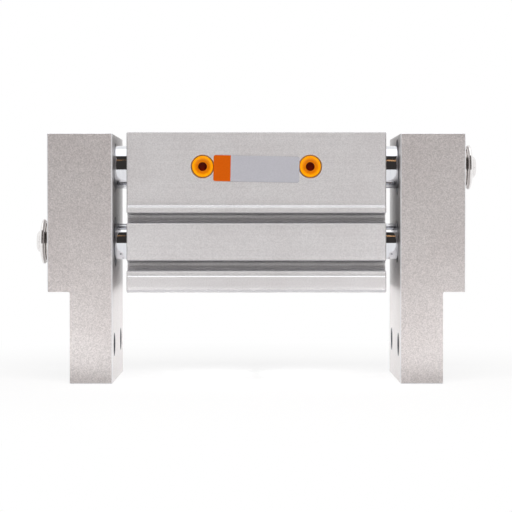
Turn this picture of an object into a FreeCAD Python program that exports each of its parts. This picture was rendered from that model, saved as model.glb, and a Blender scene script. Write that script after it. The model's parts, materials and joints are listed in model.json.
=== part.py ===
import FreeCAD, Part
import math
import os

os.makedirs("parts", exist_ok=True)

Vec = FreeCAD.Vector

# Wide-opening parallel gripper, in millimetres.
# X runs along the housing, -Y is the front with the air ports, +Z is up.
# The origin is the centre of the housing's top mounting face.
# The fingers are drawn closed, each one stroke / 2 from its open stop.

# Stroke and clearances
stroke = 40.0               # both fingers together
running_clearance = 0.03    # radial, rods and rings in their guides
seat_clearance = 0.02       # radial, pieces that are fixed in a seat
stop_clearance = 0.15       # between a piston and its end stop
bore_relief = 0.15          # radial, where a bore only clears a rod

# Housing extrusion
housing_width = 60.0
housing_height = 61.2
base_band_height = 6.1      # proud band along the lower front edge
base_step = 0.6             # how far that band stands out
base_slope = 0.5
front_wall = 6.0            # from the front face to the cylinder bore
rear_wall = 8.75            # from the rack bushes' seats to the rear face
panel_height = 27.7         # set-back panel that carries the ports
panel_setback = 0.8
panel_slope = 1.1
foot_round = 2.2            # round along both lower edges
edge_bevel = 0.2
end_bevel = 0.3             # round both end faces
bore_lead = 0.4             # lead-in at each bore's mouth

# Sensor grooves, above and below the cylinder
groove_mouth = 3.8
groove_neck = 1.1
groove_channel_radius = 2.3
groove_spacing = 18.2
groove_bevel = 0.35

# Rod lines
guide_z = -12.9
cylinder_z = -41.8
guide_rod_radius = 8.25
piston_rod_radius = 7.0
cylinder_radius = 12.5
rod_chamfer = 0.6

# Glands and pistons, from the middle outwards
bumper_thickness = 1.5
piston_length = 12.0
gland_length = 12.1
ring_thickness = 1.2
ring_inset = 0.8            # from a ring to the housing's end face
ring_depth = 0.6            # how far a ring sits in its groove
ring_land = 1.4             # how far a ring stands into its bore
eye_radius = 0.9            # of its two plier eyes
eye_angle = math.radians(16.0)

# Grooves and seats in the glands and pistons; depths are radial
gland_land = 1.2            # between one seat and the next
rod_seal_width = 3.0
rod_seal_depth = 2.6
rod_bush_wall = 1.2
o_ring_width = 2.2
o_ring_depth = 1.5
piston_seal_width = 2.6
piston_seal_depth = 3.0
magnet_width = 3.0
magnet_depth = 3.4
magnet_cover = 0.8          # from the magnet to the cylinder wall
wear_ring_width = 2.6
wear_ring_depth = 1.3
bumper_relief = 1.0         # round the outside of a gland bumper
bumper_rod_relief = 0.6     # round the rod inside it
piston_bumper_relief = 3.5
seal_corner = 0.28          # corner of a seal, as a share of its thinner side

# Wiper rings of both rod lines; depths are radial
scraper_length = 2.4
scraper_lip_length = 0.84
scraper_heel = 0.6
scraper_lip_root = 1.2
scraper_lip_edge = 0.5

# Guide bushes
guide_bore_radius = 10.0
guide_bush_length = 20.0
guide_rod_reach = 41.0      # of a guide rod inside the housing when closed

# Rack and pinion
gear_module = 1.0
pinion_teeth = 16
pressure_angle = math.radians(20.0)
backlash = 0.16
tooth_root_share = 1.25     # of the module, below the pitch line
flank_start_rise = 0.01     # from the base circle to the flank's first point
flank_steps = 4
pinion_thickness = 9.0
rack_radius = 5.25
rack_pitch_offset = 4.2     # rack axis to rack pitch line
gear_z = -27.8
rack_bush_wall = 2.0
rack_bush_length = 14.0
rack_overrun = 7.8          # rack past the pinion's centre when open

# Pinion pin and rear cover
pin_radius = 3.0
pin_chamfer = 0.5
pin_seat_depth = 5.0
cover_radius = 12.0
cover_thickness = 6.0
cover_rim = 3.0             # round the hollow on the cover's outer side
cover_recess = 2.0
cover_recess_draft = 0.6
cover_hub_wall = 2.0        # round the pin
chamber_clearance = 0.6

# Air ports
port_spacing = 41.0
port_z = -13.1
port_radius = 4.3
port_depth = 5.6
port_chamfer = 0.25
plug_radius = 4.1
plug_length = 5.0
plug_taper = 0.5
plug_edge = 0.2
plug_rim = 0.75             # flat rim round the dished face
plug_dish = 0.3
plug_hole_taper = 0.2
plug_hole_radius = 1.7
plug_hole_depth = 4.4

# Label, a thin plate between the plugs
label_height = 9.9
label_thickness = 0.12
label_corner = 0.75
label_drop = 0.9            # its middle below the ports' centres
label_clearance = 0.08      # to each plug
label_tilt = 1.2            # degrees, as it was stuck on

# Fingers
finger_gap = 5.4            # housing end to finger when closed
finger_top = 0.45           # finger's top below the housing's top
finger_width = 60.0
finger_thickness = 24.7
finger_head_height = 60.35
finger_leg_thickness = 16.2
finger_leg_height = 35.0
finger_bevel = 0.25
finger_corner_round = 0.6

# Rod seats in the fingers
seat_depth = 14.0
shoulder_depth = 4.0
spigot_radius = 5.0
recess_depth = 3.0
guide_screw_recess_radius = 10.9
guide_spigot_recess_radius = 9.2
piston_screw_recess_radius = 9.8
piston_spigot_recess_radius = 8.2
rack_seat_depth = 12.0

# Screw and dished washer on each finger's outer face
screw_radius = 4.0
screw_head_radius = 8.75
screw_head_height = 2.3
screw_boss_radius = 4.6
screw_boss_height = 1.4
screw_thread_length = 16.0
screw_tip_clearance = 1.0   # from the screw's tip to its hole's floor
screw_tip_chamfer = 0.8
screw_head_edge = 0.5
screw_head_rim = 1.1        # straight part of the head's side
screw_head_taper = 1.6
screw_boss_fillet = 0.6
screw_boss_chamfer = 0.6
hex_socket_flats = 5.0
hex_socket_floor = 1.0      # from the head's seat to the socket's floor
washer_outer_radius = 8.2
washer_height = 2.0
washer_thickness = 1.3
washer_foot = 1.2           # width that bears on the finger
washer_crown = 1.6          # width that bears on the screw's head
washer_edge = 0.4           # straight height of its outer side

# Tapped holes, drawn at their drill size
mount_hole_radius = 2.1     # M5
mount_hole_depth = 8.0
top_spacing_x = 76.0
top_spacing_y = 48.6
rear_spacing_x = 64.0
rear_spacing_z = 44.0
rear_pattern_z = -30.6
finger_hole_radius = 3.4    # M8
finger_hole_chamfer = 1.3
finger_hole_spacing = 36.0
finger_hole_rise = 14.3     # above the finger's lower end
set_screw_radius = 2.5
set_screw_length = 8.0
set_screw_socket_radius = 1.35
set_screw_socket_depth = 2.6

# Worked out from the sizes above
travel = stroke / 2
piston_face_x = stop_clearance + bumper_thickness
piston_back_x = piston_face_x + piston_length
gland_stop_x = piston_back_x + travel + stop_clearance
gland_inner_x = gland_stop_x + bumper_thickness
gland_outer_x = gland_inner_x + gland_length
housing_end_x = gland_outer_x + ring_thickness + ring_inset
scraper_start = gland_outer_x - scraper_length
rod_seal_start = gland_inner_x + gland_land
rod_bush_start = rod_seal_start + rod_seal_width + gland_land
piston_land = (piston_length - piston_seal_width - magnet_width - wear_ring_width) / 4
piston_seal_start = piston_face_x + piston_land
magnet_start = piston_seal_start + piston_seal_width + piston_land
wear_ring_start = magnet_start + magnet_width + piston_land
front_y = -housing_width / 2
rear_y = housing_width / 2
band_y = front_y + base_step
panel_y = band_y + panel_setback
label_width = port_spacing - 2 * (plug_radius + label_clearance)
label_z = port_z - label_drop
front_line_y = front_y + front_wall + cylinder_radius
rack_line_y = rear_y - rear_wall - rack_bush_wall - rack_radius
band_bottom_z = -housing_height + base_band_height
finger_inner_x = housing_end_x + finger_gap
finger_outer_x = finger_inner_x + finger_thickness
finger_bottom_z = -finger_top - finger_head_height - finger_leg_height
pinion_pitch_radius = gear_module * pinion_teeth / 2
pinion_tip_radius = pinion_pitch_radius + gear_module
tooth_root = tooth_root_share * gear_module
pinion_root_radius = pinion_pitch_radius - tooth_root
rack_pitch = math.pi * gear_module
rack_axis_offset = pinion_pitch_radius + rack_pitch_offset
upper_rack_z = gear_z + rack_axis_offset
lower_rack_z = gear_z - rack_axis_offset
rack_reach = travel + rack_overrun
chamber_radius = pinion_tip_radius + chamber_clearance
chamber_front_y = rack_line_y - pinion_thickness / 2 - chamber_clearance
chamber_rear_y = rack_line_y + pinion_thickness / 2 + chamber_clearance
cover_front_y = rear_y - ring_inset - ring_thickness - cover_thickness
guide_line = (front_line_y, guide_z)
cylinder_line = (front_line_y, cylinder_z)
upper_rack_line = (rack_line_y, upper_rack_z)
lower_rack_line = (rack_line_y, lower_rack_z)

# How far a cutting tool reaches past the face that it starts from
overcut = 1.0


def save(name, shape):
    shape.exportStep("parts/" + name + ".step")


def turned_x(points, line):
    """Solid of revolution about an axis along X; points are (x, radius)."""
    y, z = line
    corners = [Vec(x, y, z + radius) for x, radius in points]
    outline = Part.makePolygon(corners + corners[:1])
    return Part.Face(outline).revolve(Vec(0, y, z), Vec(1, 0, 0), 360)


def turned_y(points, centre):
    """Solid of revolution about an axis along Y; points are (y, radius)."""
    x, z = centre
    corners = [Vec(x, y, z + radius) for y, radius in points]
    outline = Part.makePolygon(corners + corners[:1])
    return Part.Face(outline).revolve(Vec(x, 0, z), Vec(0, 1, 0), 360)


def rod_x(radius, start, end, line):
    return Part.makeCylinder(radius, end - start, Vec(start, line[0], line[1]), Vec(1, 0, 0))


def rod_y(radius, start, end, centre):
    return Part.makeCylinder(radius, end - start, Vec(centre[0], start, centre[1]), Vec(0, 1, 0))


def tube_x(inner, outer, start, end, line):
    return rod_x(outer, start, end, line).cut(rod_x(inner, start, end, line))


def box(low, high):
    size = Vec(*high) - Vec(*low)
    return Part.makeBox(size.x, size.y, size.z, Vec(*low))


def mirrored(shape):
    """The same piece on the other end of the housing."""
    return shape.mirror(Vec(0, 0, 0), Vec(1, 0, 0))


def half_turned(shape):
    """The same piece after half a turn about the pinion's axis."""
    return shape.rotated(Vec(0, 0, gear_z), Vec(0, 1, 0), 180)


def pair(shape):
    return Part.makeCompound([shape, mirrored(shape)])


def extruded_x(points, start, end):
    """Prism along X from (y, z) points."""
    corners = [Vec(start, y, z) for y, z in points]
    face = Part.Face(Part.makePolygon(corners + corners[:1]))
    return face.extrude(Vec(end - start, 0, 0))


def housing_extrusion():
    points = [
        (rear_y, 0),
        (panel_y, 0),
        (panel_y, -panel_height),
        (band_y, -panel_height - panel_slope),
        (band_y, band_bottom_z + base_slope),
        (front_y, band_bottom_z),
        (front_y, -housing_height),
        (rear_y, -housing_height),
    ]
    shoulder_x = housing_end_x - end_bevel
    block = extruded_x(points, -shoulder_x, shoulder_x)
    lower = [e for e in block.Edges if along_x_at(e, front_y, -housing_height)]
    lower += [e for e in block.Edges if along_x_at(e, rear_y, -housing_height)]
    block = block.makeFillet(foot_round, lower)
    upper = [e for e in block.Edges if along_x_at(e, panel_y, 0)]
    upper += [e for e in block.Edges if along_x_at(e, rear_y, 0)]
    block = block.makeChamfer(edge_bevel, upper)
    section = next(f for f in block.Faces if f.BoundBox.XMin > shoulder_x - 1e-6)
    end = bevelled_end(section)
    return block.fuse([end, mirrored(end)]).removeSplitter()


def bevelled_end(section):
    """Thin slice that narrows from a section of the housing to its right end face."""
    inner = section.makeOffset2D(-end_bevel, join=2)
    inner.translate(Vec(end_bevel, 0, 0))
    return Part.makeLoft([section.OuterWire, inner.OuterWire], True, True)


def along_x_at(edge, y, z):
    near = Vec(0, y, z)
    ends = [v.Point for v in edge.Vertexes]
    return len(ends) == 2 and all((p - Vec(p.x, near.y, near.z)).Length < 1e-6 for p in ends)


def groove_tool(z):
    """Sensor groove: a bevelled mouth, a neck and a round channel."""
    half = groove_mouth / 2
    flare = groove_bevel + overcut
    mouth = [
        (band_y - overcut, z + half + flare),
        (band_y + groove_bevel, z + half),
        (band_y + groove_neck + groove_channel_radius, z + half),
        (band_y + groove_neck + groove_channel_radius, z - half),
        (band_y + groove_bevel, z - half),
        (band_y - overcut, z - half - flare),
    ]
    start = -housing_end_x - overcut
    end = housing_end_x + overcut
    neck = extruded_x(mouth, start, end)
    channel_y = band_y + groove_neck + groove_channel_radius
    groove = neck.fuse(rod_x(groove_channel_radius, start, end, (channel_y, z)))
    flare = groove_flare(z)
    return groove.fuse(flare).fuse(mirrored(flare))


def groove_flare(z):
    """Deburred end of a groove: its neck widens towards the end face."""
    inner = groove_mouth / 2
    outer = inner + end_bevel + overcut
    front = band_y - overcut
    corners = [
        Vec(housing_end_x - end_bevel, front, z - inner),
        Vec(housing_end_x + overcut, front, z - outer),
        Vec(housing_end_x + overcut, front, z + outer),
        Vec(housing_end_x - end_bevel, front, z + inner),
    ]
    face = Part.Face(Part.makePolygon(corners + corners[:1]))
    return face.extrude(Vec(0, overcut + groove_neck, 0))


def bore_mouth_tool(bore_radius, line):
    """Lead-in cone at a bore's mouth in the right end face."""
    points = [
        (housing_end_x - bore_lead, 0),
        (housing_end_x - bore_lead, bore_radius),
        (housing_end_x + overcut, bore_radius + bore_lead + overcut),
        (housing_end_x + overcut, 0),
    ]
    return turned_x(points, line)


def ring_groove_tool(bore_radius, line):
    start = housing_end_x - ring_inset - ring_thickness
    groove_radius = bore_radius + ring_depth + seat_clearance
    return rod_x(groove_radius, start, start + ring_thickness, line)


def rack_bore_tool(line):
    """Rack bore from the right end, with its bush seat; blind past the pinion."""
    bore_radius = rack_radius + bore_relief
    bore = rod_x(bore_radius, -rack_reach - stop_clearance, housing_end_x + overcut, line)
    seat_start = housing_end_x - rack_bush_length - ring_inset
    seat = rod_x(rack_radius + rack_bush_wall, seat_start, housing_end_x + overcut, line)
    return bore.fuse(seat).fuse(bore_mouth_tool(rack_radius + rack_bush_wall, line))


def pinion_chamber_tool():
    chamber = rod_y(chamber_radius, chamber_front_y, cover_front_y + overcut, (0, gear_z))
    seat = rod_y(cover_radius, cover_front_y, rear_y + overcut, (0, gear_z))
    ring_y = cover_front_y + cover_thickness
    ring_radius = cover_radius + ring_depth + seat_clearance
    ring_groove = rod_y(ring_radius, ring_y, ring_y + ring_thickness, (0, gear_z))
    pin_end_y = chamber_front_y - pin_seat_depth
    pin_hole = rod_y(pin_radius, pin_end_y, chamber_front_y + overcut, (0, gear_z))
    return [chamber, seat, ring_groove, pin_hole]


def port_tool(x):
    mouth = port_radius + port_chamfer
    points = [
        (panel_y - overcut, 0),
        (panel_y - overcut, mouth + overcut),
        (panel_y, mouth),
        (panel_y + port_chamfer, port_radius),
        (panel_y + port_depth, port_radius),
        (panel_y + port_depth, 0),
    ]
    return turned_y(points, (x, port_z))


def hole_grid(spacing_a, spacing_b):
    return [(a * spacing_a / 2, b * spacing_b / 2) for a in (-1, 1) for b in (-1, 1)]


def housing():
    body = housing_extrusion()
    tools = [
        groove_tool(cylinder_z + groove_spacing / 2),
        groove_tool(cylinder_z - groove_spacing / 2),
        rod_x(guide_bore_radius, -housing_end_x - overcut, housing_end_x + overcut, guide_line),
        rod_x(cylinder_radius, -housing_end_x - overcut, housing_end_x + overcut, cylinder_line),
        rack_bore_tool(lower_rack_line),
        half_turned(rack_bore_tool(lower_rack_line)),
        port_tool(-port_spacing / 2),
        port_tool(port_spacing / 2),
    ]
    for bore_radius, line in ((guide_bore_radius, guide_line), (cylinder_radius, cylinder_line)):
        groove = ring_groove_tool(bore_radius, line)
        mouth = bore_mouth_tool(bore_radius, line)
        tools += [groove, mirrored(groove), mouth, mirrored(mouth)]
    tools += pinion_chamber_tool()
    for x, y in hole_grid(top_spacing_x, top_spacing_y):
        start = Vec(x, y, -mount_hole_depth)
        tools.append(Part.makeCylinder(mount_hole_radius, mount_hole_depth + overcut, start))
    for x, z in hole_grid(rear_spacing_x, rear_spacing_z):
        centre = (x, rear_pattern_z + z)
        tools.append(rod_y(mount_hole_radius, rear_y - mount_hole_depth, rear_y + overcut, centre))
    for tool in tools:
        body = body.cut(tool)
    return body


def retaining_ring(bore_radius):
    """Open spring ring about X at x = 0, with two plier eyes beside its gap."""
    outer = bore_radius + ring_depth
    inner = bore_radius - ring_land
    eye_line = bore_radius - ring_land + eye_radius
    ring = tube_x(inner, outer, 0, ring_thickness, (0, 0))
    half_gap = eye_line * math.sin(eye_angle)
    gap = box((-overcut, -half_gap, -outer - overcut), (ring_thickness + overcut, half_gap, 0))
    ring = ring.cut(gap)
    for side in (-1, 1):
        centre = (side * half_gap, -eye_line * math.cos(eye_angle))
        ring = ring.fuse(rod_x(eye_radius, 0, ring_thickness, centre))
        ring = ring.cut(rod_x(eye_radius / 2, -overcut, ring_thickness + overcut, centre))
    return ring.removeSplitter()


def end_rings(bore_radius, line):
    """The two rings that close one bore, one at each end of the housing."""
    start = housing_end_x - ring_inset - ring_thickness
    ring = retaining_ring(bore_radius)
    ring.translate(Vec(start, line[0], line[1]))
    return pair(ring)


def ring_seal(inner, outer, start, width, line):
    """Ring with rounded corners, such as an O-ring in its groove."""
    corner = min(width, outer - inner) * seal_corner
    points = [
        (start + corner, inner),
        (start + width - corner, inner),
        (start + width, inner + corner),
        (start + width, outer - corner),
        (start + width - corner, outer),
        (start + corner, outer),
        (start, outer - corner),
        (start, inner + corner),
    ]
    return turned_x(points, line)


def gland():
    """Right-hand end plug of the cylinder, bored for the piston rod."""
    outer = cylinder_radius - seat_clearance
    body = tube_x(piston_rod_radius + bore_relief, outer, gland_inner_x, gland_outer_x, cylinder_line)
    seal_radius = piston_rod_radius + rod_seal_depth
    bush_radius = piston_rod_radius + rod_bush_wall
    mouth_x = gland_outer_x + overcut
    seal_seat = rod_x(seal_radius, rod_seal_start, rod_seal_start + rod_seal_width, cylinder_line)
    bush_seat = rod_x(bush_radius, rod_bush_start, mouth_x, cylinder_line)
    scraper_seat = rod_x(seal_radius, scraper_start, mouth_x, cylinder_line)
    groove_floor = cylinder_radius - o_ring_depth
    groove_end = rod_seal_start + o_ring_width
    groove = tube_x(groove_floor, outer + overcut, rod_seal_start, groove_end, cylinder_line)
    return body.cut(seal_seat).cut(bush_seat).cut(scraper_seat).cut(groove)


def scraper_points(rod_radius, outer, start):
    """Outline of a wiper ring with a lip that leans out along the rod."""
    lip_x = start + scraper_length - scraper_lip_length
    inner = rod_radius + running_clearance
    return [
        (start, inner + scraper_heel),
        (start, outer - seat_clearance),
        (lip_x, outer - seat_clearance),
        (lip_x, inner + scraper_lip_root),
        (start + scraper_length, inner + scraper_lip_edge),
        (start + scraper_length, inner),
    ]


def cylinder_ends():
    """Glands and what they hold, drawn for the right end and mirrored."""
    save("right_gland", gland())
    save("left_gland", mirrored(gland()))
    outer = cylinder_radius - 2 * seat_clearance
    groove_floor = cylinder_radius - o_ring_depth
    save("gland_o_rings", pair(ring_seal(groove_floor, outer, rod_seal_start, o_ring_width, cylinder_line)))
    seal_inner = piston_rod_radius + running_clearance
    seal_outer = piston_rod_radius + rod_seal_depth - seat_clearance
    save("rod_seals", pair(ring_seal(seal_inner, seal_outer, rod_seal_start, rod_seal_width, cylinder_line)))
    bush_outer = piston_rod_radius + rod_bush_wall - seat_clearance
    save("rod_bushes", pair(tube_x(seal_inner, bush_outer, rod_bush_start, scraper_start, cylinder_line)))
    wiper = scraper_points(piston_rod_radius, piston_rod_radius + rod_seal_depth, scraper_start)
    save("rod_scrapers", pair(turned_x(wiper, cylinder_line)))
    save("gland_retaining_rings", end_rings(cylinder_radius, cylinder_line))
    bumper_outer = cylinder_radius - bumper_relief
    bumper_inner = piston_rod_radius + bumper_rod_relief
    bumper = tube_x(bumper_inner, bumper_outer, gland_stop_x, gland_inner_x, cylinder_line)
    save("gland_bumpers", pair(bumper))


def guide_ends():
    """Bushes, wipers and rings of the guide rods."""
    inner = guide_rod_radius + running_clearance
    outer = guide_bore_radius - seat_clearance
    start = scraper_start - guide_bush_length
    save("guide_bushes", pair(tube_x(inner, outer, start, scraper_start, guide_line)))
    wiper = scraper_points(guide_rod_radius, guide_bore_radius, scraper_start)
    save("guide_scrapers", pair(turned_x(wiper, guide_line)))
    save("guide_retaining_rings", end_rings(guide_bore_radius, guide_line))


def rack_bushes():
    """Plain bushes in the mouths of the two rack bores."""
    start = housing_end_x - rack_bush_length - ring_inset
    outer = rack_radius + rack_bush_wall - seat_clearance
    bush = tube_x(rack_radius + running_clearance, outer, start, start + rack_bush_length, lower_rack_line)
    return Part.makeCompound([bush, half_turned(bush)])


def involute(base_radius, radius):
    """Angle that an involute has turned through at a radius."""
    roll = math.sqrt((radius / base_radius) ** 2 - 1)
    return roll - math.atan(roll)


def polar(radius, angle):
    """Point round the pinion's axis; angle 0 points up."""
    return Vec(radius * math.sin(angle), 0, gear_z + radius * math.cos(angle))


def pinion():
    """Involute spur pinion, with a tooth pointing at each rack."""
    base_radius = pinion_pitch_radius * math.cos(pressure_angle)
    half_tooth = math.pi / (2 * pinion_teeth) - backlash / (4 * pinion_pitch_radius)
    half_at_base = half_tooth + involute(base_radius, pinion_pitch_radius)
    flank_start = max(base_radius, pinion_root_radius) + flank_start_rise
    flank_step = (pinion_tip_radius - flank_start) / flank_steps
    radii = [flank_start + flank_step * i for i in range(flank_steps + 1)]
    edges = []
    last = None
    for tooth in range(pinion_teeth):
        middle = 2 * math.pi * tooth / pinion_teeth
        rising = [polar(r, middle - half_at_base + involute(base_radius, r)) for r in radii]
        falling = [polar(r, middle + half_at_base - involute(base_radius, r)) for r in reversed(radii)]
        root_in = polar(pinion_root_radius, middle - half_at_base)
        root_out = polar(pinion_root_radius, middle + half_at_base)
        if last is not None:
            edges.append(Part.LineSegment(last, root_in).toShape())
        else:
            first = root_in
        edges.append(Part.LineSegment(root_in, rising[0]).toShape())
        edges.append(flank(rising))
        edges.append(Part.Arc(rising[-1], polar(pinion_tip_radius, middle), falling[0]).toShape())
        edges.append(flank(falling))
        edges.append(Part.LineSegment(falling[-1], root_out).toShape())
        last = root_out
    edges.append(Part.LineSegment(last, first).toShape())
    blank = Part.Face(Part.Wire(edges)).extrude(Vec(0, pinion_thickness, 0))
    blank.translate(Vec(0, rack_line_y - pinion_thickness / 2, 0))
    bore_radius = pin_radius + running_clearance
    return blank.cut(rod_y(bore_radius, chamber_front_y, chamber_rear_y, (0, gear_z)))


def flank(points):
    curve = Part.BSplineCurve()
    curve.interpolate(points)
    return curve.toShape()


def pinion_pin():
    """Pin from its hole in the housing to its hole in the cover."""
    start = chamber_front_y - pin_seat_depth + seat_clearance
    end = cover_front_y + cover_thickness - cover_recess - seat_clearance
    radius = pin_radius - seat_clearance
    points = [
        (start, 0),
        (start, radius - pin_chamfer),
        (start + pin_chamfer, radius),
        (end - pin_chamfer, radius),
        (end, radius - pin_chamfer),
        (end, 0),
    ]
    return turned_y(points, (0, gear_z))


def pinion_cover():
    """Round rear cover with an O-ring groove, a hub for the pin and a hollow outside."""
    outer = cover_radius - seat_clearance
    back = cover_front_y + cover_thickness
    groove_start = cover_front_y + gland_land
    hollow_radius = cover_radius - cover_rim
    hub_end = chamber_rear_y
    hub_radius = pin_radius + cover_hub_wall
    points = [
        (hub_end, 0),
        (hub_end, hub_radius),
        (cover_front_y, hub_radius),
        (cover_front_y, outer),
        (groove_start, outer),
        (groove_start, outer - o_ring_depth),
        (groove_start + o_ring_width, outer - o_ring_depth),
        (groove_start + o_ring_width, outer),
        (back, outer),
        (back, hollow_radius),
        (back - cover_recess, hollow_radius - cover_recess_draft),
        (back - cover_recess, 0),
    ]
    cover = turned_y(points, (0, gear_z))
    pin_end = back - cover_recess
    return cover.cut(rod_y(pin_radius, hub_end - overcut, pin_end + overcut, (0, gear_z)))


def cover_o_ring():
    outer = cover_radius - 2 * seat_clearance
    inner = cover_radius - o_ring_depth
    start = cover_front_y + gland_land
    ring = ring_seal(inner, outer, start, o_ring_width, (0, 0))
    return turned_to_y(ring)


def cover_ring():
    ring = retaining_ring(cover_radius)
    ring.translate(Vec(cover_front_y + cover_thickness, 0, 0))
    return turned_to_y(ring)


def turned_to_y(shape):
    """Turns a piece from the X axis to the pinion's axis."""
    turned = shape.rotated(Vec(0, 0, 0), Vec(0, 0, 1), 90)
    turned.translate(Vec(0, 0, gear_z))
    return turned


def port_plug(x):
    """Tapered dust plug, flush in its port, with a dished face and a blind hole."""
    front = panel_y - seat_clearance
    points = [
        (front + plug_hole_depth, 0),
        (front + plug_hole_depth, plug_hole_radius - plug_hole_taper),
        (front + plug_dish, plug_hole_radius),
        (front, plug_radius - plug_rim),
        (front, plug_radius - plug_edge),
        (front + plug_edge, plug_radius),
        (front + plug_length, plug_radius - plug_taper),
        (front + plug_length, 0),
    ]
    return turned_y(points, (x, port_z))


def label():
    """Bare plate with rounded corners on the port panel."""
    half_x = label_width / 2
    half_z = label_height / 2
    plate = box((-half_x, panel_y - label_thickness, label_z - half_z), (half_x, panel_y, label_z + half_z))
    corners = [e for e in plate.Edges if e.tangentAt(e.FirstParameter).cross(Vec(0, 1, 0)).Length < 1e-6]
    return plate.makeFillet(label_corner, corners).rotated(Vec(0, panel_y, label_z), Vec(0, 1, 0), label_tilt)


def finger_blank():
    """Right-hand finger: a thick head on the rods and a thinner leg below."""
    step_z = -finger_top - finger_head_height
    half = finger_width / 2
    head = box((finger_inner_x, -half, step_z), (finger_outer_x, half, -finger_top))
    leg_outer_x = finger_inner_x + finger_leg_thickness
    leg = box((finger_inner_x, -half, finger_bottom_z), (leg_outer_x, half, step_z))
    blank = head.fuse(leg).removeSplitter()
    sharp = [e for e in blank.Edges if not touches(e, leg_outer_x, step_z)]
    blank = blank.makeChamfer(finger_bevel, sharp)
    corner = [e for e in blank.Edges if along_y_at(e, leg_outer_x, step_z)]
    return blank.makeFillet(finger_corner_round, corner)


def along_y_at(edge, x, z):
    ends = [v.Point for v in edge.Vertexes]
    return len(ends) == 2 and all(abs(p.x - x) < 1e-6 and abs(p.z - z) < 1e-6 for p in ends)


def touches(edge, x, z):
    return any(abs(v.Point.x - x) < 1e-6 and abs(v.Point.z - z) < 1e-6 for v in edge.Vertexes)


def screw_seat_tools(line, rod_radius, recess_radius):
    """Seat for a rod that a screw holds from the finger's outer face."""
    start = finger_inner_x - overcut
    return [
        rod_x(recess_radius, start, finger_inner_x + recess_depth, line),
        rod_x(rod_radius + seat_clearance, start, finger_inner_x + seat_depth, line),
        rod_x(screw_radius + bore_relief, start, finger_outer_x + overcut, line),
    ]


def spigot_seat_tools(line, rod_radius, recess_radius):
    """Seat for a rod whose threaded spigot screws into the finger."""
    start = finger_inner_x - overcut
    return [
        rod_x(recess_radius, start, finger_inner_x + recess_depth, line),
        rod_x(rod_radius + seat_clearance, start, finger_inner_x + shoulder_depth, line),
        rod_x(spigot_radius + seat_clearance, start, finger_inner_x + seat_depth + seat_clearance, line),
    ]


def finger_hole_tool(y):
    """Tapped hole right through the leg, countersunk on both sides."""
    z = finger_bottom_z + finger_hole_rise
    leg_outer_x = finger_inner_x + finger_leg_thickness
    mouth = finger_hole_radius + finger_hole_chamfer
    points = [
        (finger_inner_x - overcut, 0),
        (finger_inner_x - overcut, mouth + overcut),
        (finger_inner_x, mouth),
        (finger_inner_x + finger_hole_chamfer, finger_hole_radius),
        (leg_outer_x - finger_hole_chamfer, finger_hole_radius),
        (leg_outer_x, mouth),
        (leg_outer_x + overcut, mouth + overcut),
        (leg_outer_x + overcut, 0),
    ]
    return turned_x(points, (y, z))


def finger(guide_seat, piston_seat, rack_line):
    """Finger for the right end, with the seats that its own rods need."""
    body = finger_blank()
    tools = guide_seat + piston_seat
    seat_radius = rack_radius + seat_clearance
    tools.append(rod_x(seat_radius, finger_inner_x - overcut, finger_inner_x + rack_seat_depth, rack_line))
    screw_centre = (finger_inner_x + rack_seat_depth / 2, rack_line[1])
    tools.append(rod_y(set_screw_radius, rack_line_y, finger_width / 2 + overcut, screw_centre))
    tools += [finger_hole_tool(-finger_hole_spacing / 2), finger_hole_tool(finger_hole_spacing / 2)]
    for tool in tools:
        body = body.cut(tool)
    return body


def screwed_rod(radius, inner_end_x, line, spigot_x=None):
    """Rod for the right end that takes the outer screw in a tapped end."""
    outer_end_x = finger_inner_x + seat_depth - seat_clearance
    rod = turned_x(rod_points(radius, inner_end_x, outer_end_x, spigot_x), line)
    hole_start = outer_end_x - screw_thread_length
    return rod.cut(rod_x(screw_radius, hole_start, outer_end_x + overcut, line))


def spigot_rod(radius, inner_end_x, line, spigot_x=None):
    """Rod for the right end with a threaded spigot in the finger."""
    shoulder_x = finger_inner_x + shoulder_depth - seat_clearance
    rod = turned_x(rod_points(radius, inner_end_x, shoulder_x, spigot_x), line)
    return rod.fuse(rod_x(spigot_radius, shoulder_x, finger_inner_x + seat_depth, line)).removeSplitter()


def rod_points(radius, inner_end_x, outer_end_x, spigot_x):
    """Outline of a plain rod, or of one with a spigot that carries a piston."""
    outer_chamfer = rod_chamfer / 2
    points = [
        (outer_end_x, 0),
        (outer_end_x, radius - outer_chamfer),
        (outer_end_x - outer_chamfer, radius),
    ]
    inner_radius = radius
    if spigot_x is not None:
        inner_radius = spigot_radius
        points += [(spigot_x, radius), (spigot_x, spigot_radius)]
    return points + [
        (inner_end_x + rod_chamfer, inner_radius),
        (inner_end_x, inner_radius - rod_chamfer),
        (inner_end_x, 0),
    ]


def rod_screw(line):
    """Wide-headed socket screw, above its washer, with a raised centre."""
    seat_x = finger_outer_x + washer_height
    top_x = seat_x + screw_head_height
    boss_x = top_x + screw_boss_height
    start = finger_inner_x + seat_depth - screw_thread_length + screw_tip_clearance
    points = [
        (start, 0),
        (start, screw_radius - screw_tip_chamfer),
        (start + screw_tip_chamfer, screw_radius - seat_clearance),
        (seat_x, screw_radius - seat_clearance),
        (seat_x, screw_head_radius - screw_head_edge),
        (seat_x + screw_head_edge / 2, screw_head_radius),
        (seat_x + screw_head_rim, screw_head_radius),
        (top_x, screw_head_radius - screw_head_taper),
        (top_x, screw_boss_radius + screw_boss_fillet),
        (top_x + screw_boss_fillet, screw_boss_radius),
        (boss_x - screw_boss_chamfer, screw_boss_radius),
        (boss_x, screw_boss_radius - screw_boss_chamfer),
        (boss_x, 0),
    ]
    screw = turned_x(points, line)
    corner = hex_socket_flats / math.sqrt(3)
    angles = [math.radians(60 * i) for i in range(6)]
    hexagon = [(line[0] + corner * math.cos(a), line[1] + corner * math.sin(a)) for a in angles]
    socket = extruded_x(hexagon, seat_x + hex_socket_floor, boss_x + overcut)
    return screw.cut(socket)


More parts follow.
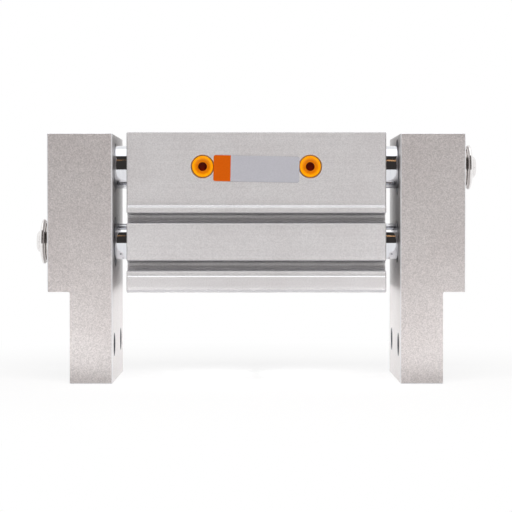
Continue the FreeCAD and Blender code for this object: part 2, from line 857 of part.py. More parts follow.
def spring_washer(line):
    """Dished washer: its outer edge bears on the finger, its inner edge on the screw."""
    base = finger_outer_x
    top = finger_outer_x + washer_height
    inner = screw_radius + bore_relief
    points = [
        (base, washer_outer_radius - washer_foot),
        (base, washer_outer_radius),
        (base + washer_edge, washer_outer_radius),
        (top, inner + washer_crown),
        (top, inner),
        (top - washer_thickness, inner),
    ]
    return turned_x(points, line)


def piston():
    """Right-hand piston, grooved for its seal, magnet and wear ring."""
    outer = cylinder_radius - bore_relief
    body = tube_x(spigot_radius + seat_clearance, outer, piston_face_x, piston_back_x, cylinder_line)
    grooves = (
        (piston_seal_depth, piston_seal_start, piston_seal_width),
        (magnet_depth, magnet_start, magnet_width),
        (wear_ring_depth, wear_ring_start, wear_ring_width),
    )
    for depth, start, width in grooves:
        floor = cylinder_radius - depth
        body = body.cut(tube_x(floor, outer + overcut, start, start + width, cylinder_line))
    return body


def groove_ring(depth, outer, start, width):
    """Square ring that sits in one of the piston's grooves."""
    floor = cylinder_radius - depth + seat_clearance
    return tube_x(floor, outer, start + seat_clearance, start + width - seat_clearance, cylinder_line)


def piston_pieces():
    """What a piston carries: seal, magnet, wear ring and end bumper."""
    running = cylinder_radius - running_clearance
    seal_floor = cylinder_radius - piston_seal_depth + seat_clearance
    bumper_radius = cylinder_radius - piston_bumper_relief
    return {
        "piston": piston(),
        "piston_seal": ring_seal(seal_floor, running, piston_seal_start, piston_seal_width, cylinder_line),
        "magnet_ring": groove_ring(magnet_depth, cylinder_radius - magnet_cover, magnet_start, magnet_width),
        "wear_ring": groove_ring(wear_ring_depth, running, wear_ring_start, wear_ring_width),
        "piston_bumper": rod_x(bumper_radius, stop_clearance, piston_face_x, cylinder_line),
    }


def rack(line):
    """Lower rack, on the right-hand finger, with its teeth facing up to the pinion."""
    outer_end_x = finger_inner_x + rack_seat_depth - seat_clearance
    points = [
        (-rack_reach, 0),
        (-rack_reach, rack_radius - rod_chamfer),
        (-rack_reach + rod_chamfer, rack_radius),
        (outer_end_x - rod_chamfer, rack_radius),
        (outer_end_x, rack_radius - rod_chamfer),
        (outer_end_x, 0),
    ]
    rod = turned_x(points, line)
    pitch_z = line[1] + rack_pitch_offset
    tip = rack_radius - rack_pitch_offset + overcut
    half_pitch_gap = rack_pitch / 4 + backlash / 4
    slope = math.tan(pressure_angle)
    first = -math.ceil(rack_reach / rack_pitch)
    last = math.ceil(rack_overrun / rack_pitch)
    phase = 0 if pinion_teeth % 2 == 0 else rack_pitch / 2
    for index in range(first, last + 1):
        x = index * rack_pitch + phase
        outline = [
            Vec(x - half_pitch_gap - tip * slope, 0, pitch_z + tip),
            Vec(x + half_pitch_gap + tip * slope, 0, pitch_z + tip),
            Vec(x + half_pitch_gap - tooth_root * slope, 0, pitch_z - tooth_root),
            Vec(x - half_pitch_gap + tooth_root * slope, 0, pitch_z - tooth_root),
        ]
        gap = Part.Face(Part.makePolygon(outline + outline[:1]))
        gap = gap.extrude(Vec(0, 2 * rack_radius + overcut, 0))
        gap.translate(Vec(0, line[0] - rack_radius - overcut / 2, 0))
        rod = rod.cut(gap)
    return rod


def rack_set_screw(line):
    """Set screw that pins a rack in its finger, from the finger's rear face."""
    x = finger_inner_x + rack_seat_depth / 2
    start = rack_line_y + rack_radius + seat_clearance
    end = start + set_screw_length
    radius = set_screw_radius - seat_clearance
    outer_chamfer = rod_chamfer / 2
    points = [
        (start, 0),
        (start, radius - rod_chamfer),
        (start + rod_chamfer, radius),
        (end - outer_chamfer, radius),
        (end, radius - outer_chamfer),
        (end, 0),
    ]
    centre = (x, line[1])
    screw = turned_y(points, centre)
    return screw.cut(rod_y(set_screw_socket_radius, end - set_screw_socket_depth, end + overcut, centre))


def right_finger_set():
    """Right finger: its guide rod takes the outer screw."""
    guide_seat = screw_seat_tools(guide_line, guide_rod_radius, guide_screw_recess_radius)
    piston_seat = spigot_seat_tools(cylinder_line, piston_rod_radius, piston_spigot_recess_radius)
    inner_x = housing_end_x - guide_rod_reach
    piston_end_x = piston_face_x + seat_clearance
    pieces = {
        "finger": finger(guide_seat, piston_seat, lower_rack_line),
        "guide_rod": screwed_rod(guide_rod_radius, inner_x, guide_line),
        "piston_rod": spigot_rod(piston_rod_radius, piston_end_x, cylinder_line, piston_back_x),
        "rod_screw": rod_screw(guide_line),
        "spring_washer": spring_washer(guide_line),
        "rack": rack(lower_rack_line),
        "rack_set_screw": rack_set_screw(lower_rack_line),
    }
    pieces.update(piston_pieces())
    return pieces


def left_finger_set():
    """Left finger: its piston rod takes the outer screw. Drawn at the right end, then mirrored."""
    guide_seat = spigot_seat_tools(guide_line, guide_rod_radius, guide_spigot_recess_radius)
    piston_seat = screw_seat_tools(cylinder_line, piston_rod_radius, piston_screw_recess_radius)
    inner_x = housing_end_x - guide_rod_reach
    piston_end_x = piston_face_x + seat_clearance
    pieces = {
        "finger": finger(guide_seat, piston_seat, upper_rack_line),
        "guide_rod": spigot_rod(guide_rod_radius, inner_x, guide_line),
        "piston_rod": screwed_rod(piston_rod_radius, piston_end_x, cylinder_line, piston_back_x),
        "rod_screw": rod_screw(cylinder_line),
        "spring_washer": spring_washer(cylinder_line),
        "rack_set_screw": rack_set_screw(upper_rack_line),
    }
    pieces.update(piston_pieces())
    pieces = {name: mirrored(shape) for name, shape in pieces.items()}
    pieces["rack"] = half_turned(rack(lower_rack_line))
    return pieces


save("housing", housing())
guide_ends()
cylinder_ends()
save("rack_bushes", rack_bushes())
save("pinion", pinion())
save("pinion_pin", pinion_pin())
save("pinion_cover", pinion_cover())
save("pinion_cover_o_ring", cover_o_ring())
save("pinion_cover_ring", cover_ring())
save("left_port_plug", port_plug(-port_spacing / 2))
save("right_port_plug", port_plug(port_spacing / 2))
save("label", label())
for side, pieces in (("left_", left_finger_set()), ("right_", right_finger_set())):
    for name, shape in pieces.items():
        save(side + name, shape)
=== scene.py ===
import json
import math

import bmesh
import bpy
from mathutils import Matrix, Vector


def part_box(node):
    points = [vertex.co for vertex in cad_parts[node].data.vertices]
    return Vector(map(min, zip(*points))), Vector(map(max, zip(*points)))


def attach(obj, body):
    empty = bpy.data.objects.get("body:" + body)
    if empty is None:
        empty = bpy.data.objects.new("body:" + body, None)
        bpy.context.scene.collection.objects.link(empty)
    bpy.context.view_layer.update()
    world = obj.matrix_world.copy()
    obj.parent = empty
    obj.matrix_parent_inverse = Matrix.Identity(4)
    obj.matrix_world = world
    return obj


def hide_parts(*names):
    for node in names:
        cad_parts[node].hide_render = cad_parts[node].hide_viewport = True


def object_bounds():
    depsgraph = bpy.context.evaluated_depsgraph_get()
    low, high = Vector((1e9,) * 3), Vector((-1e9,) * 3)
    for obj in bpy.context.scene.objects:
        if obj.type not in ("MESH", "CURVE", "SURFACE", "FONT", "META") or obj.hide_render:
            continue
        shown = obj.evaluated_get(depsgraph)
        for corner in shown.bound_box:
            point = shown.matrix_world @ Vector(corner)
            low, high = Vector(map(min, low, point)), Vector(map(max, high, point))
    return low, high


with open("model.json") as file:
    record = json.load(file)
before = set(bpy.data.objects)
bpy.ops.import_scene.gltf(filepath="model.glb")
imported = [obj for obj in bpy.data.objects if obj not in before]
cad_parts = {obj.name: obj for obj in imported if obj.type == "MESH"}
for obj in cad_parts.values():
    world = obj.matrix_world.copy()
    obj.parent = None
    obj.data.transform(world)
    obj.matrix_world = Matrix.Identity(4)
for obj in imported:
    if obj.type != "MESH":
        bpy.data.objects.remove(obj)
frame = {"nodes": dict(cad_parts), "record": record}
cad_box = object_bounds()

MM = 0.001

# The photograph's frame, in its own pixels
PHOTO_WIDTH = 512
PHOTO_SCALE = 0.38 * MM                 # metres per pixel at the fingers' front faces
ORIGIN_PX = (256.4, 132.0)              # where the origin falls on that plane
HORIZON_PX = (254.0, 219.0)             # where lines along Y meet
VIEW_DISTANCE_PX = 1960.0
SENSOR_MM = 36.0

# Places that several pieces share
FLOOR = cad_box[0].z
HOUSING_LOW, HOUSING_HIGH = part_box("housing")
PANEL = HOUSING_LOW.y + 1.4 * MM        # front face of the port panel

SHARP_ANGLE = math.radians(28)          # neighbouring faces that turn by more meet in a sharp edge
LATHE_SIDES = 120                       # faces round a turned piece


def srgb(red, green, blue):
    """Linear colour for 8-bit display values."""
    def linear(value):
        value = value / 255
        return value / 12.92 if value <= 0.04045 else ((value + 0.055) / 1.055) ** 2.4
    return (linear(red), linear(green), linear(blue), 1.0)


# Materials

# A normal's largest part: on bevels it is under the first value, on faces along an axis over the second
BEVEL_NORMAL = (0.85, 0.95)
# The distances outside a bolt hole's wall between which the painted shade in the holes fades out
BOLT_SHADE_EDGE = (1.2 * MM, 1.28 * MM)


class Material:
    """A node material around one Principled shader."""

    def __init__(self, name, **sockets):
        self.material = bpy.data.materials.new(name)
        self.material.use_nodes = True
        self.tree = self.material.node_tree
        self.shader = self.tree.nodes["Principled BSDF"]
        for socket, value in sockets.items():
            self.shader.inputs[socket.replace("_", " ")].default_value = value

    def node(self, kind, **settings):
        """New node with these settings."""
        made = self.tree.nodes.new(kind)
        for key, value in settings.items():
            setattr(made, key, value)
        return made

    def link(self, source, target):
        """Links an output to a socket."""
        self.tree.links.new(source, target)

    def feed(self, value, target):
        """Links an output to a socket, or sets a plain number on it."""
        if isinstance(value, float):
            target.default_value = value
        else:
            self.link(value, target)

    def set(self, socket, output):
        """Links an output to a socket of the shader."""
        self.link(output, self.shader.inputs[socket])

    def coordinates(self, scale=(1, 1, 1), turn=(0, 0, 0)):
        """Object coordinates, stretched by scale and turned."""
        texture = self.node("ShaderNodeTexCoord")
        mapping = self.node("ShaderNodeMapping")
        mapping.inputs["Scale"].default_value = scale
        mapping.inputs["Rotation"].default_value = turn
        self.link(texture.outputs["Object"], mapping.inputs["Vector"])
        return mapping.outputs["Vector"]

    def place(self, turn=(0, 0, 0)):
        """X, Y and Z of the surface point, in the piece's own coordinates."""
        made = self.node("ShaderNodeSeparateXYZ")
        self.link(self.coordinates(turn=turn), made.inputs["Vector"])
        return made.outputs

    def noise(self, size, scale=(1, 1, 1), detail=2.0):
        """Noise with features of about size metres; scale below 1 draws them out."""
        made = self.node("ShaderNodeTexNoise")
        made.inputs["Scale"].default_value = 1 / size
        made.inputs["Detail"].default_value = detail
        self.link(self.coordinates(scale), made.inputs["Vector"])
        return made.outputs["Fac"]

    def mapped(self, value, low, high, start=0.3, end=0.7):
        """The value's start..end range mapped to low..high; a noise keeps to the default range."""
        made = self.node("ShaderNodeMapRange")
        made.inputs["From Min"].default_value = start
        made.inputs["From Max"].default_value = end
        made.inputs["To Min"].default_value = low
        made.inputs["To Max"].default_value = high
        self.link(value, made.inputs["Value"])
        return made.outputs["Result"]

    def shades(self, noise, first, second):
        """Colour that drifts with the noise between two 8-bit colours."""
        made = self.node("ShaderNodeMix", data_type="RGBA")
        made.inputs["A"].default_value = srgb(*first)
        made.inputs["B"].default_value = srgb(*second)
        self.link(self.mapped(noise, 0, 1), made.inputs["Factor"])
        return made.outputs["Result"]

    def choose(self, factor, first, second):
        """Mix of two linked colours."""
        made = self.node("ShaderNodeMix", data_type="RGBA")
        self.link(factor, made.inputs["Factor"])
        self.link(first, made.inputs["A"])
        self.link(second, made.inputs["B"])
        return made.outputs["Result"]

    def between(self, factor, first, second):
        """Mix of two values, each linked or plain."""
        made = self.node("ShaderNodeMix", data_type="FLOAT")
        self.link(factor, made.inputs["Factor"])
        self.feed(first, made.inputs["A"])
        self.feed(second, made.inputs["B"])
        return made.outputs["Result"]

    def tinted(self, colour, factor):
        """A linked colour multiplied by a grey factor."""
        made = self.node("ShaderNodeVectorMath", operation="SCALE")
        self.link(colour, made.inputs["Vector"])
        self.link(factor, made.inputs["Scale"])
        return made.outputs["Vector"]

    def calculate(self, operation, first, second=None):
        """One step of arithmetic on a linked value, with a second that is linked, plain or absent."""
        made = self.node("ShaderNodeMath", operation=operation)
        self.link(first, made.inputs[0])
        if second is not None:
            self.feed(second, made.inputs[1])
        return made.outputs["Value"]

    def bevel_share(self):
        """1 on faces whose normal lies along no axis, such as bevels and countersinks."""
        texture = self.node("ShaderNodeTexCoord")
        size = self.node("ShaderNodeVectorMath", operation="ABSOLUTE")
        self.link(texture.outputs["Normal"], size.inputs[0])
        split = self.node("ShaderNodeSeparateXYZ")
        self.link(size.outputs["Vector"], split.inputs["Vector"])
        larger = self.calculate("MAXIMUM", split.outputs["X"], split.outputs["Y"])
        largest = self.calculate("MAXIMUM", larger, split.outputs["Z"])
        return self.mapped(largest, 1, 0, *BEVEL_NORMAL)

    def near_bolts(self):
        """1 in the fingers' bolt holes and countersinks, which run along X, one pair at +Y and -Y;
        painted shade goes there.
        """
        middle, _, radius = bolt_holes("left_finger_bolts")[0]
        place = self.place()
        aside = self.calculate("ABSOLUTE", place["Y"])
        offset = self.node("ShaderNodeCombineXYZ")
        self.link(self.calculate("SUBTRACT", aside, abs(middle.y)), offset.inputs["Y"])
        self.link(self.calculate("SUBTRACT", place["Z"], middle.z), offset.inputs["Z"])
        distance = self.node("ShaderNodeVectorMath", operation="LENGTH")
        self.link(offset.outputs["Vector"], distance.inputs[0])
        near, far = BOLT_SHADE_EDGE
        return self.mapped(distance.outputs["Value"], 1, 0, radius + near, radius + far)

    def bump(self, height, distance):
        """Bumps the surface by a linked height, times a distance in metres."""
        made = self.node("ShaderNodeBump")
        made.inputs["Distance"].default_value = distance
        made.inputs["Strength"].default_value = 1.0
        self.link(height, made.inputs["Height"])
        self.set("Normal", made.outputs["Normal"])


def extruded_aluminium():
    """Satin anodised extrusion: die lines along X, a fine grain, and slopes that the die polished."""
    made = Material("housing_aluminium", Metallic=0.3, Roughness=0.39, Specular_IOR_Level=0.5)
    clouds = made.noise(14 * MM, detail=3.0)
    lines = made.noise(0.4 * MM, scale=(0.015, 1, 1), detail=3.0)
    grain = made.noise(0.4 * MM)
    slopes = made.bevel_share()
    satin = made.shades(clouds, (213, 211, 212), (217, 216, 217))
    polished = made.shades(clouds, (196, 196, 198), (202, 202, 204))
    shade = made.calculate("MULTIPLY", made.mapped(lines, 0.965, 1.025), made.mapped(grain, 0.88, 1.09))
    made.set("Base Color", made.choose(slopes, made.tinted(satin, shade), polished))
    made.set("Metallic", made.between(slopes, 0.3, 0.75))
    made.set("Roughness", made.between(slopes, made.mapped(lines, 0.36, 0.42), 0.24))
    made.bump(made.calculate("ADD", lines, grain), 0.002 * MM)
    return made.material


def blasted_aluminium():
    """Sandblasted and anodised finger stock, with bright machined bevels and painted shade in its bolt
    holes.
    """
    made = Material("finger_aluminium", Metallic=0.4, Roughness=0.48, Specular_IOR_Level=0.5,
                    Coat_Weight=1.0, Coat_Roughness=0.42, Coat_IOR=1.6)
    clouds = made.noise(18 * MM)
    grain = made.noise(0.42 * MM, detail=3.0)
    pits = made.noise(0.24 * MM, detail=1.0)
    bevels = made.bevel_share()
    holes = made.near_bolts()
    blasted = made.shades(clouds, (204, 198, 197), (209, 204, 203))
    machined = made.shades(clouds, (224, 226, 230), (230, 232, 235))
    # Painted shade: a near-black colour for the shade inside the bolt holes and countersinks
    painted_bolt_shade = made.shades(clouds, (60, 61, 66), (68, 69, 74))
    shade = made.calculate("MULTIPLY", made.mapped(grain, 0.76, 1.18), made.mapped(pits, 0.90, 1.09))
    outside = made.choose(bevels, made.tinted(blasted, shade), machined)
    made.set("Base Color", made.choose(holes, outside, painted_bolt_shade))
    made.set("Roughness", made.between(bevels, made.mapped(grain, 0.44, 0.52), 0.3))
    made.set("Coat Weight", made.mapped(holes, 1.0, 0.0, 0, 1))
    made.bump(made.calculate("ADD", grain, pits), 0.045 * MM)
    return made.material


def polished_chrome():
    """Hard chrome with the faintest turned lines round the rod."""
    made = Material("hard_chrome", Metallic=1.0)
    rings = made.noise(0.3 * MM, scale=(1, 0.05, 0.05))
    made.set("Base Color", made.shades(rings, (220, 221, 226), (226, 227, 231)))
    made.set("Roughness", made.mapped(rings, 0.03, 0.07))
    return made.material


def nickel_plate():
    """Bright nickel on the screws and washers, slightly pebbled."""
    made = Material("bright_nickel", Metallic=1.0)
    pebble = made.noise(0.8 * MM)
    made.set("Base Color", made.shades(pebble, (230, 227, 226), (239, 237, 236)))
    made.set("Roughness", made.mapped(pebble, 0.08, 0.14))
    made.bump(pebble, 0.01 * MM)
    return made.material


# Y over which shade is painted on the plugs, down the dished face and then darker down the hole
DISH_SHADE = (PANEL + 0.02 * MM, PANEL + 0.3 * MM)
HOLE_SHADE = (PANEL + 0.45 * MM, PANEL + 0.9 * MM)


def plug_plastic():
    """Orange plastic, with painted shade down its dished face and dark red painted shade inside its
    hole.
    """
    made = Material("orange_plastic", Specular_IOR_Level=0.15)
    skin = made.noise(1.5 * MM, detail=3.0)
    depth = made.place()["Y"]
    face = made.shades(skin, (248, 156, 4), (255, 166, 8))
    # Painted shade: darker orange down the dished face and dark red in the hole, for the shade there
    painted_dish_shade = made.shades(skin, (208, 112, 0), (216, 120, 0))
    hole = made.shades(skin, (124, 30, 2), (134, 36, 3))
    in_dish = made.mapped(depth, 0, 1, *DISH_SHADE)
    in_hole = made.mapped(depth, 0, 1, *HOLE_SHADE)
    made.set("Base Color", made.choose(in_hole, made.choose(in_dish, face, painted_dish_shade), hole))
    made.set("Roughness", made.mapped(skin, 0.34, 0.44))
    made.bump(skin, 0.02 * MM)
    return made.material


LABEL_SPLIT = -9.5 * MM                 # X where the label's orange block ends
LABEL_BLUR = 0.02 * MM                  # half the width of the step to the grey field
LABEL_TILT = math.radians(1.2)          # of that step, from upright


def label_film():
    """Bare film on the label plate: an orange block at the left of a grey field, set a little askew."""
    made = Material("label_film", Specular_IOR_Level=0.15)
    across = made.place(turn=(0, -LABEL_TILT, 0))["X"]
    in_grey = made.mapped(across, 0, 1, LABEL_SPLIT - LABEL_BLUR, LABEL_SPLIT + LABEL_BLUR)
    skin = made.noise(0.6 * MM, detail=3.0)
    orange = made.shades(skin, (196, 84, 0), (204, 90, 2))
    grey = made.shades(skin, (170, 171, 178), (178, 179, 186))
    made.set("Base Color", made.choose(in_grey, orange, grey))
    made.set("Roughness", made.mapped(skin, 0.42, 0.52))
    made.bump(skin, 0.01 * MM)
    return made.material


# name: darker and lighter 8-bit colour, mean roughness, stretch of the grain
METALS = {
    "gland_aluminium": ((188, 188, 190), (205, 205, 206), 0.32, (1, 0.1, 0.1)),
    "ground_steel": ((160, 160, 164), (184, 184, 188), 0.26, (1, 1, 1)),
    "spring_steel": ((44, 43, 43), (62, 61, 61), 0.38, (1, 1, 1)),
    "bronze": ((158, 120, 78), (184, 144, 98), 0.36, (1, 1, 1)),
    "magnet": ((46, 46, 48), (62, 62, 64), 0.6, (1, 1, 1)),
    "lip_polish": ((224, 224, 226), (232, 232, 234), 0.2, (0.05, 1, 1)),
}

# name: darker and lighter 8-bit colour, mean roughness
MOULDINGS = {
    "black_rubber": ((24, 24, 25), (34, 34, 35), 0.6),
    "bumper_rubber": ((64, 64, 68), (80, 80, 84), 0.55),
    "wear_plastic": ((150, 118, 74), (172, 138, 90), 0.5),
}


def machined_metal(name, dark, light, roughness, stretch):
    """Plain machined metal with a fine grain."""
    made = Material(name, Metallic=1.0)
    grain = made.noise(0.4 * MM, scale=stretch, detail=3.0)
    made.set("Base Color", made.shades(grain, dark, light))
    made.set("Roughness", made.mapped(grain, roughness - 0.06, roughness + 0.06))
    made.bump(grain, 0.01 * MM)
    return made.material


def moulded(name, dark, light, roughness):
    """Plastic or rubber with a fine moulded skin."""
    made = Material(name)
    skin = made.noise(1.5 * MM, detail=3.0)
    made.set("Base Color", made.shades(skin, dark, light))
    made.set("Roughness", made.mapped(skin, roughness - 0.05, roughness + 0.05))
    made.bump(skin, 0.02 * MM)
    return made.material


def make_materials():
    """Every material by the name of the slot that it fills."""
    made = {
        "housing_aluminium": extruded_aluminium(),
        "finger_aluminium": blasted_aluminium(),
        "hard_chrome": polished_chrome(),
        "bright_nickel": nickel_plate(),
        "orange_plastic": plug_plastic(),
        "label_film": label_film(),
    }
    for name, look in METALS.items():
        made[name] = machined_metal(name, *look)
    for name, look in MOULDINGS.items():
        made[name] = moulded(name, *look)
    return made


def dress_cad_nodes(materials):
    """Each CAD node takes the material of its slot."""
    slots = {part["node"]: part["material_slot"] for part in frame["record"]["subparts"]}
    for name, obj in frame["nodes"].items():
        obj.data.materials.clear()
        obj.data.materials.append(materials[slots[name]])
        obj.data.set_sharp_from_angle(angle=SHARP_ANGLE)


# Mesh helpers

def add_piece(name, mesh, material, body):
    """Object for a mesh, with its material and body."""
    mesh.materials.append(material)
    mesh.shade_smooth()
    mesh.set_sharp_from_angle(angle=SHARP_ANGLE)
    made = bpy.data.objects.new(name, mesh)
    bpy.context.scene.collection.objects.link(made)
    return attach(made, body)


def finished_mesh(bm, name):
    """Mesh of that name from a bmesh, with its faces turned outwards."""
    mesh = bpy.data.meshes.new(name)
    bmesh.ops.recalc_face_normals(bm, faces=bm.faces)
    bm.to_mesh(mesh)
    bm.free()
    return mesh


def frame_along(axis):
    """Two directions across an axis."""
    across = Vector((0, 0, 1)) if abs(axis.z) < 0.5 else Vector((1, 0, 0))
    return across, axis.cross(across)


def ring_radius(radius, sides, angle):
    """Radius at an angle of a circle, or of a polygon with that corner radius."""
    if sides is None:
        return radius
    sector = 2 * math.pi / sides
    return radius * math.cos(sector / 2) / math.cos(angle % sector - sector / 2)


def lathe(name, profile, start, axis):
    """Turned mesh; profile entries are (along, radius) or (along, corner radius, sides)."""
    up, side = frame_along(axis)
    bm = bmesh.new()
    rings = []
    for along, radius, *polygon in profile:
        sides = polygon[0] if polygon else None
        centre = start + axis * along
        if radius == 0:
            rings.append([bm.verts.new(centre)])
            continue
        ring = []
        for i in range(LATHE_SIDES):
            angle = 2 * math.pi * i / LATHE_SIDES
            reach = ring_radius(radius, sides, angle)
            ring.append(bm.verts.new(centre + (up * math.cos(angle) + side * math.sin(angle)) * reach))
        rings.append(ring)
    closed = rings if len(rings[0]) == 1 else rings + [rings[0]]
    for first, second in zip(closed, closed[1:]):
        for i in range(LATHE_SIDES):
            j = (i + 1) % LATHE_SIDES
            corners = [first[i % len(first)], first[j % len(first)],
                       second[j % len(second)], second[i % len(second)]]
            unique = list(dict.fromkeys(corners))
            if len(unique) > 2:
                bm.faces.new(unique)
    return finished_mesh(bm, name)


ROUND_STEPS = 4                         # edges in the round of one corner
ROUND_REACH = 0.45                      # share of the shorter edge beside it that a round may take


def rounded(corner, before, after, radius):
    """Points of a round at a profile corner, between its two neighbours."""
    corner, before, after = Vector(corner), Vector(before), Vector(after)
    first = corner + (before - corner).normalized() * radius
    last = corner + (after - corner).normalized() * radius
    points = []
    for i in range(ROUND_STEPS + 1):
        t = i / ROUND_STEPS
        points.append(tuple(first * (1 - t) ** 2 + corner * 2 * t * (1 - t) + last * t ** 2))
    return points


def softened(points, radius):
    """The profile with each inner corner rounded; its two ends stay."""
    made = [points[0]]
    for before, corner, after in zip(points, points[1:], points[2:]):
        room = min((Vector(end) - Vector(corner)).length for end in (before, after))
        made += rounded(corner, before, after, min(radius, room * ROUND_REACH))
    return made + [points[-1]]


def replace_turned(node, ending, profile, start, axis, body, finish, materials):
    """Turned piece that stands for a CAD node."""
    name = f"{node}_{ending}"
    made = add_piece(name, lathe(name, profile, start, axis), materials[finish], body)
    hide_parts(node)


def radius_of(node):
    """Radius of a node that is round about X or Y."""
    low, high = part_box(node)
    return (high.z - low.z) / 2


def centre_of(node):
    """Middle of a node's box."""
    low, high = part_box(node)
    return (low + high) / 2


def outward(side):
    """Direction from the housing out to a finger."""
    return Vector((1, 0, 0)) if side == "right" else Vector((-1, 0, 0))


def on_outer_face(side, node):
    """Where a node's axis along X meets the finger's outer face."""
    low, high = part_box(f"{side}_finger")
    middle = centre_of(node)
    return Vector((high.x if side == "right" else low.x, middle.y, middle.z))


# Pieces

ROD_ROUND = 0.5 * MM
ROD_HOLD = 1.5 * MM                     # rings this far from the ends keep the shank's shading straight


def chrome_rod(side, kind, materials):
    """Polished rod: a plain shank with soft ends."""
    node = f"{side}_{kind}"
    low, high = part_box(node)
    radius = radius_of(node)
    length = high.x - low.x
    middle = centre_of(node)
    profile = softened([(0, 0), (0, radius), (ROD_HOLD, radius), (length - ROD_HOLD, radius),
                        (length, radius), (length, 0)], ROD_ROUND)
    replace_turned(node, "polished", profile, Vector((low.x, middle.y, middle.z)), Vector((1, 0, 0)),
                   f"{side}_finger_body", "hard_chrome", materials)


# Rod screw: radii, and heights above the finger's outer face
WASHER_HEIGHT = 2.0 * MM
HEAD_RADIUS = 8.75 * MM
HEAD_UNDERCUT = 0.75 * MM
HEAD_SIDE_END = 3.35 * MM
SHOULDER_HEIGHT = 3.95 * MM
SHOULDER_RADIUS = 7.45 * MM
BOSS_ROOT_HEIGHT = 4.25 * MM
BOSS_ROOT_RADIUS = 5.2 * MM
BOSS_SIDE_START = 4.6 * MM
BOSS_SIDE_END = 5.1 * MM
BOSS_RADIUS = 4.3 * MM
BOSS_TAPER = 0.25 * MM
BOSS_END = 5.7 * MM
BOSS_NOSE_RADIUS = 3.2 * MM
SHANK_RADIUS = 3.98 * MM
SHANK_BEVEL = 0.8 * MM
HEX_CORNER = 5.0 * MM / math.sqrt(3)    # for 5 mm across flats
HEX_RIM = 0.1 * MM                      # between the hex's corners and the nose
HEX_LEAD_WIDTH = 0.02 * MM
HEX_LEAD_DEPTH = 0.15 * MM
HEX_FLOOR = 3.0 * MM
HEX_CONE = 0.6 * MM                     # depth of the drill's cone below the floor
SCREW_ROUND = 0.45 * MM


def rod_screw(side, materials):
    """Domed head with a rounded nose and a hex socket, and its shank down into the rod."""
    node = f"{side}_rod_screw"
    low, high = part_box(node)
    depth = high.x - low.x - BOSS_END
    outline = softened([
        (-depth, 0),
        (-depth, SHANK_RADIUS - SHANK_BEVEL),
        (-depth + SHANK_BEVEL, SHANK_RADIUS),
        (WASHER_HEIGHT, SHANK_RADIUS),
        (WASHER_HEIGHT, HEAD_RADIUS - HEAD_UNDERCUT),
        (WASHER_HEIGHT + HEAD_UNDERCUT, HEAD_RADIUS),
        (HEAD_SIDE_END, HEAD_RADIUS),
        (SHOULDER_HEIGHT, SHOULDER_RADIUS),
        (BOSS_ROOT_HEIGHT, BOSS_ROOT_RADIUS),
        (BOSS_SIDE_START, BOSS_RADIUS),
        (BOSS_SIDE_END, BOSS_RADIUS - BOSS_TAPER),
        (BOSS_END, BOSS_NOSE_RADIUS),
        (BOSS_END, HEX_CORNER + HEX_RIM),
    ], SCREW_ROUND)
    socket = [
        (BOSS_END, HEX_CORNER + HEX_LEAD_WIDTH, 6),
        (BOSS_END - HEX_LEAD_DEPTH, HEX_CORNER, 6),
        (HEX_FLOOR, HEX_CORNER, 6),
        (HEX_FLOOR - HEX_CONE, 0),
    ]
    replace_turned(node, "nickel", outline + socket, on_outer_face(side, node), outward(side),
                   f"{side}_finger_body", "bright_nickel", materials)


WASHER_CLEARANCE = 0.17 * MM            # round the screw's shank
WASHER_FOOT = 1.2 * MM                  # width of the ring that rests on the finger
WASHER_EDGE = 1.15 * MM                 # height of its outer edge
WASHER_CROWN = 3.0 * MM                 # width of the flat ring under the head
WASHER_BORE = 1.3 * MM                  # height of its bore
WASHER_ROUND = 0.35 * MM


def spring_washer(side, materials):
    """Dished washer with rolled edges under the screw's head."""
    node = f"{side}_spring_washer"
    outer = radius_of(node)
    inner = SHANK_RADIUS + WASHER_CLEARANCE
    ring = [
        (0, outer - WASHER_FOOT),
        (0, outer),
        (WASHER_EDGE, outer),
        (WASHER_HEIGHT, inner + WASHER_CROWN),
        (WASHER_HEIGHT, inner),
        (WASHER_HEIGHT - WASHER_BORE, inner),
    ]
    closed = softened([ring[-1]] + ring + [ring[0]], WASHER_ROUND)[1:-1]
    replace_turned(node, "nickel", closed, on_outer_face(side, node), outward(side),
                   f"{side}_finger_body", "bright_nickel", materials)


# Port plug: widths across it, and depths behind its rim
PLUG_TAPER = 0.5 * MM                   # how much narrower its rear end is, on each side
PLUG_EDGE = 0.12 * MM
PLUG_EDGE_DEPTH = 0.25 * MM
PLUG_RIM = 0.75 * MM
PLUG_RIM_SLOPE = 0.2 * MM
PLUG_RIM_SLOPE_DEPTH = 0.05 * MM
PLUG_DISH_RING = 0.7 * MM               # the dish's steeper outer part
PLUG_DISH_FALL = 0.6                    # share of the dish's depth that this part falls
PLUG_DISH_DEPTH = 0.45 * MM
PLUG_LIP = 0.22 * MM
PLUG_LIP_RISE = 0.15 * MM
PLUG_HOLE_RADIUS = 1.72 * MM
PLUG_HOLE_TAPER = 0.15 * MM
PLUG_HOLE_DEPTH = 2.2 * MM
PLUG_ROUND = 0.15 * MM


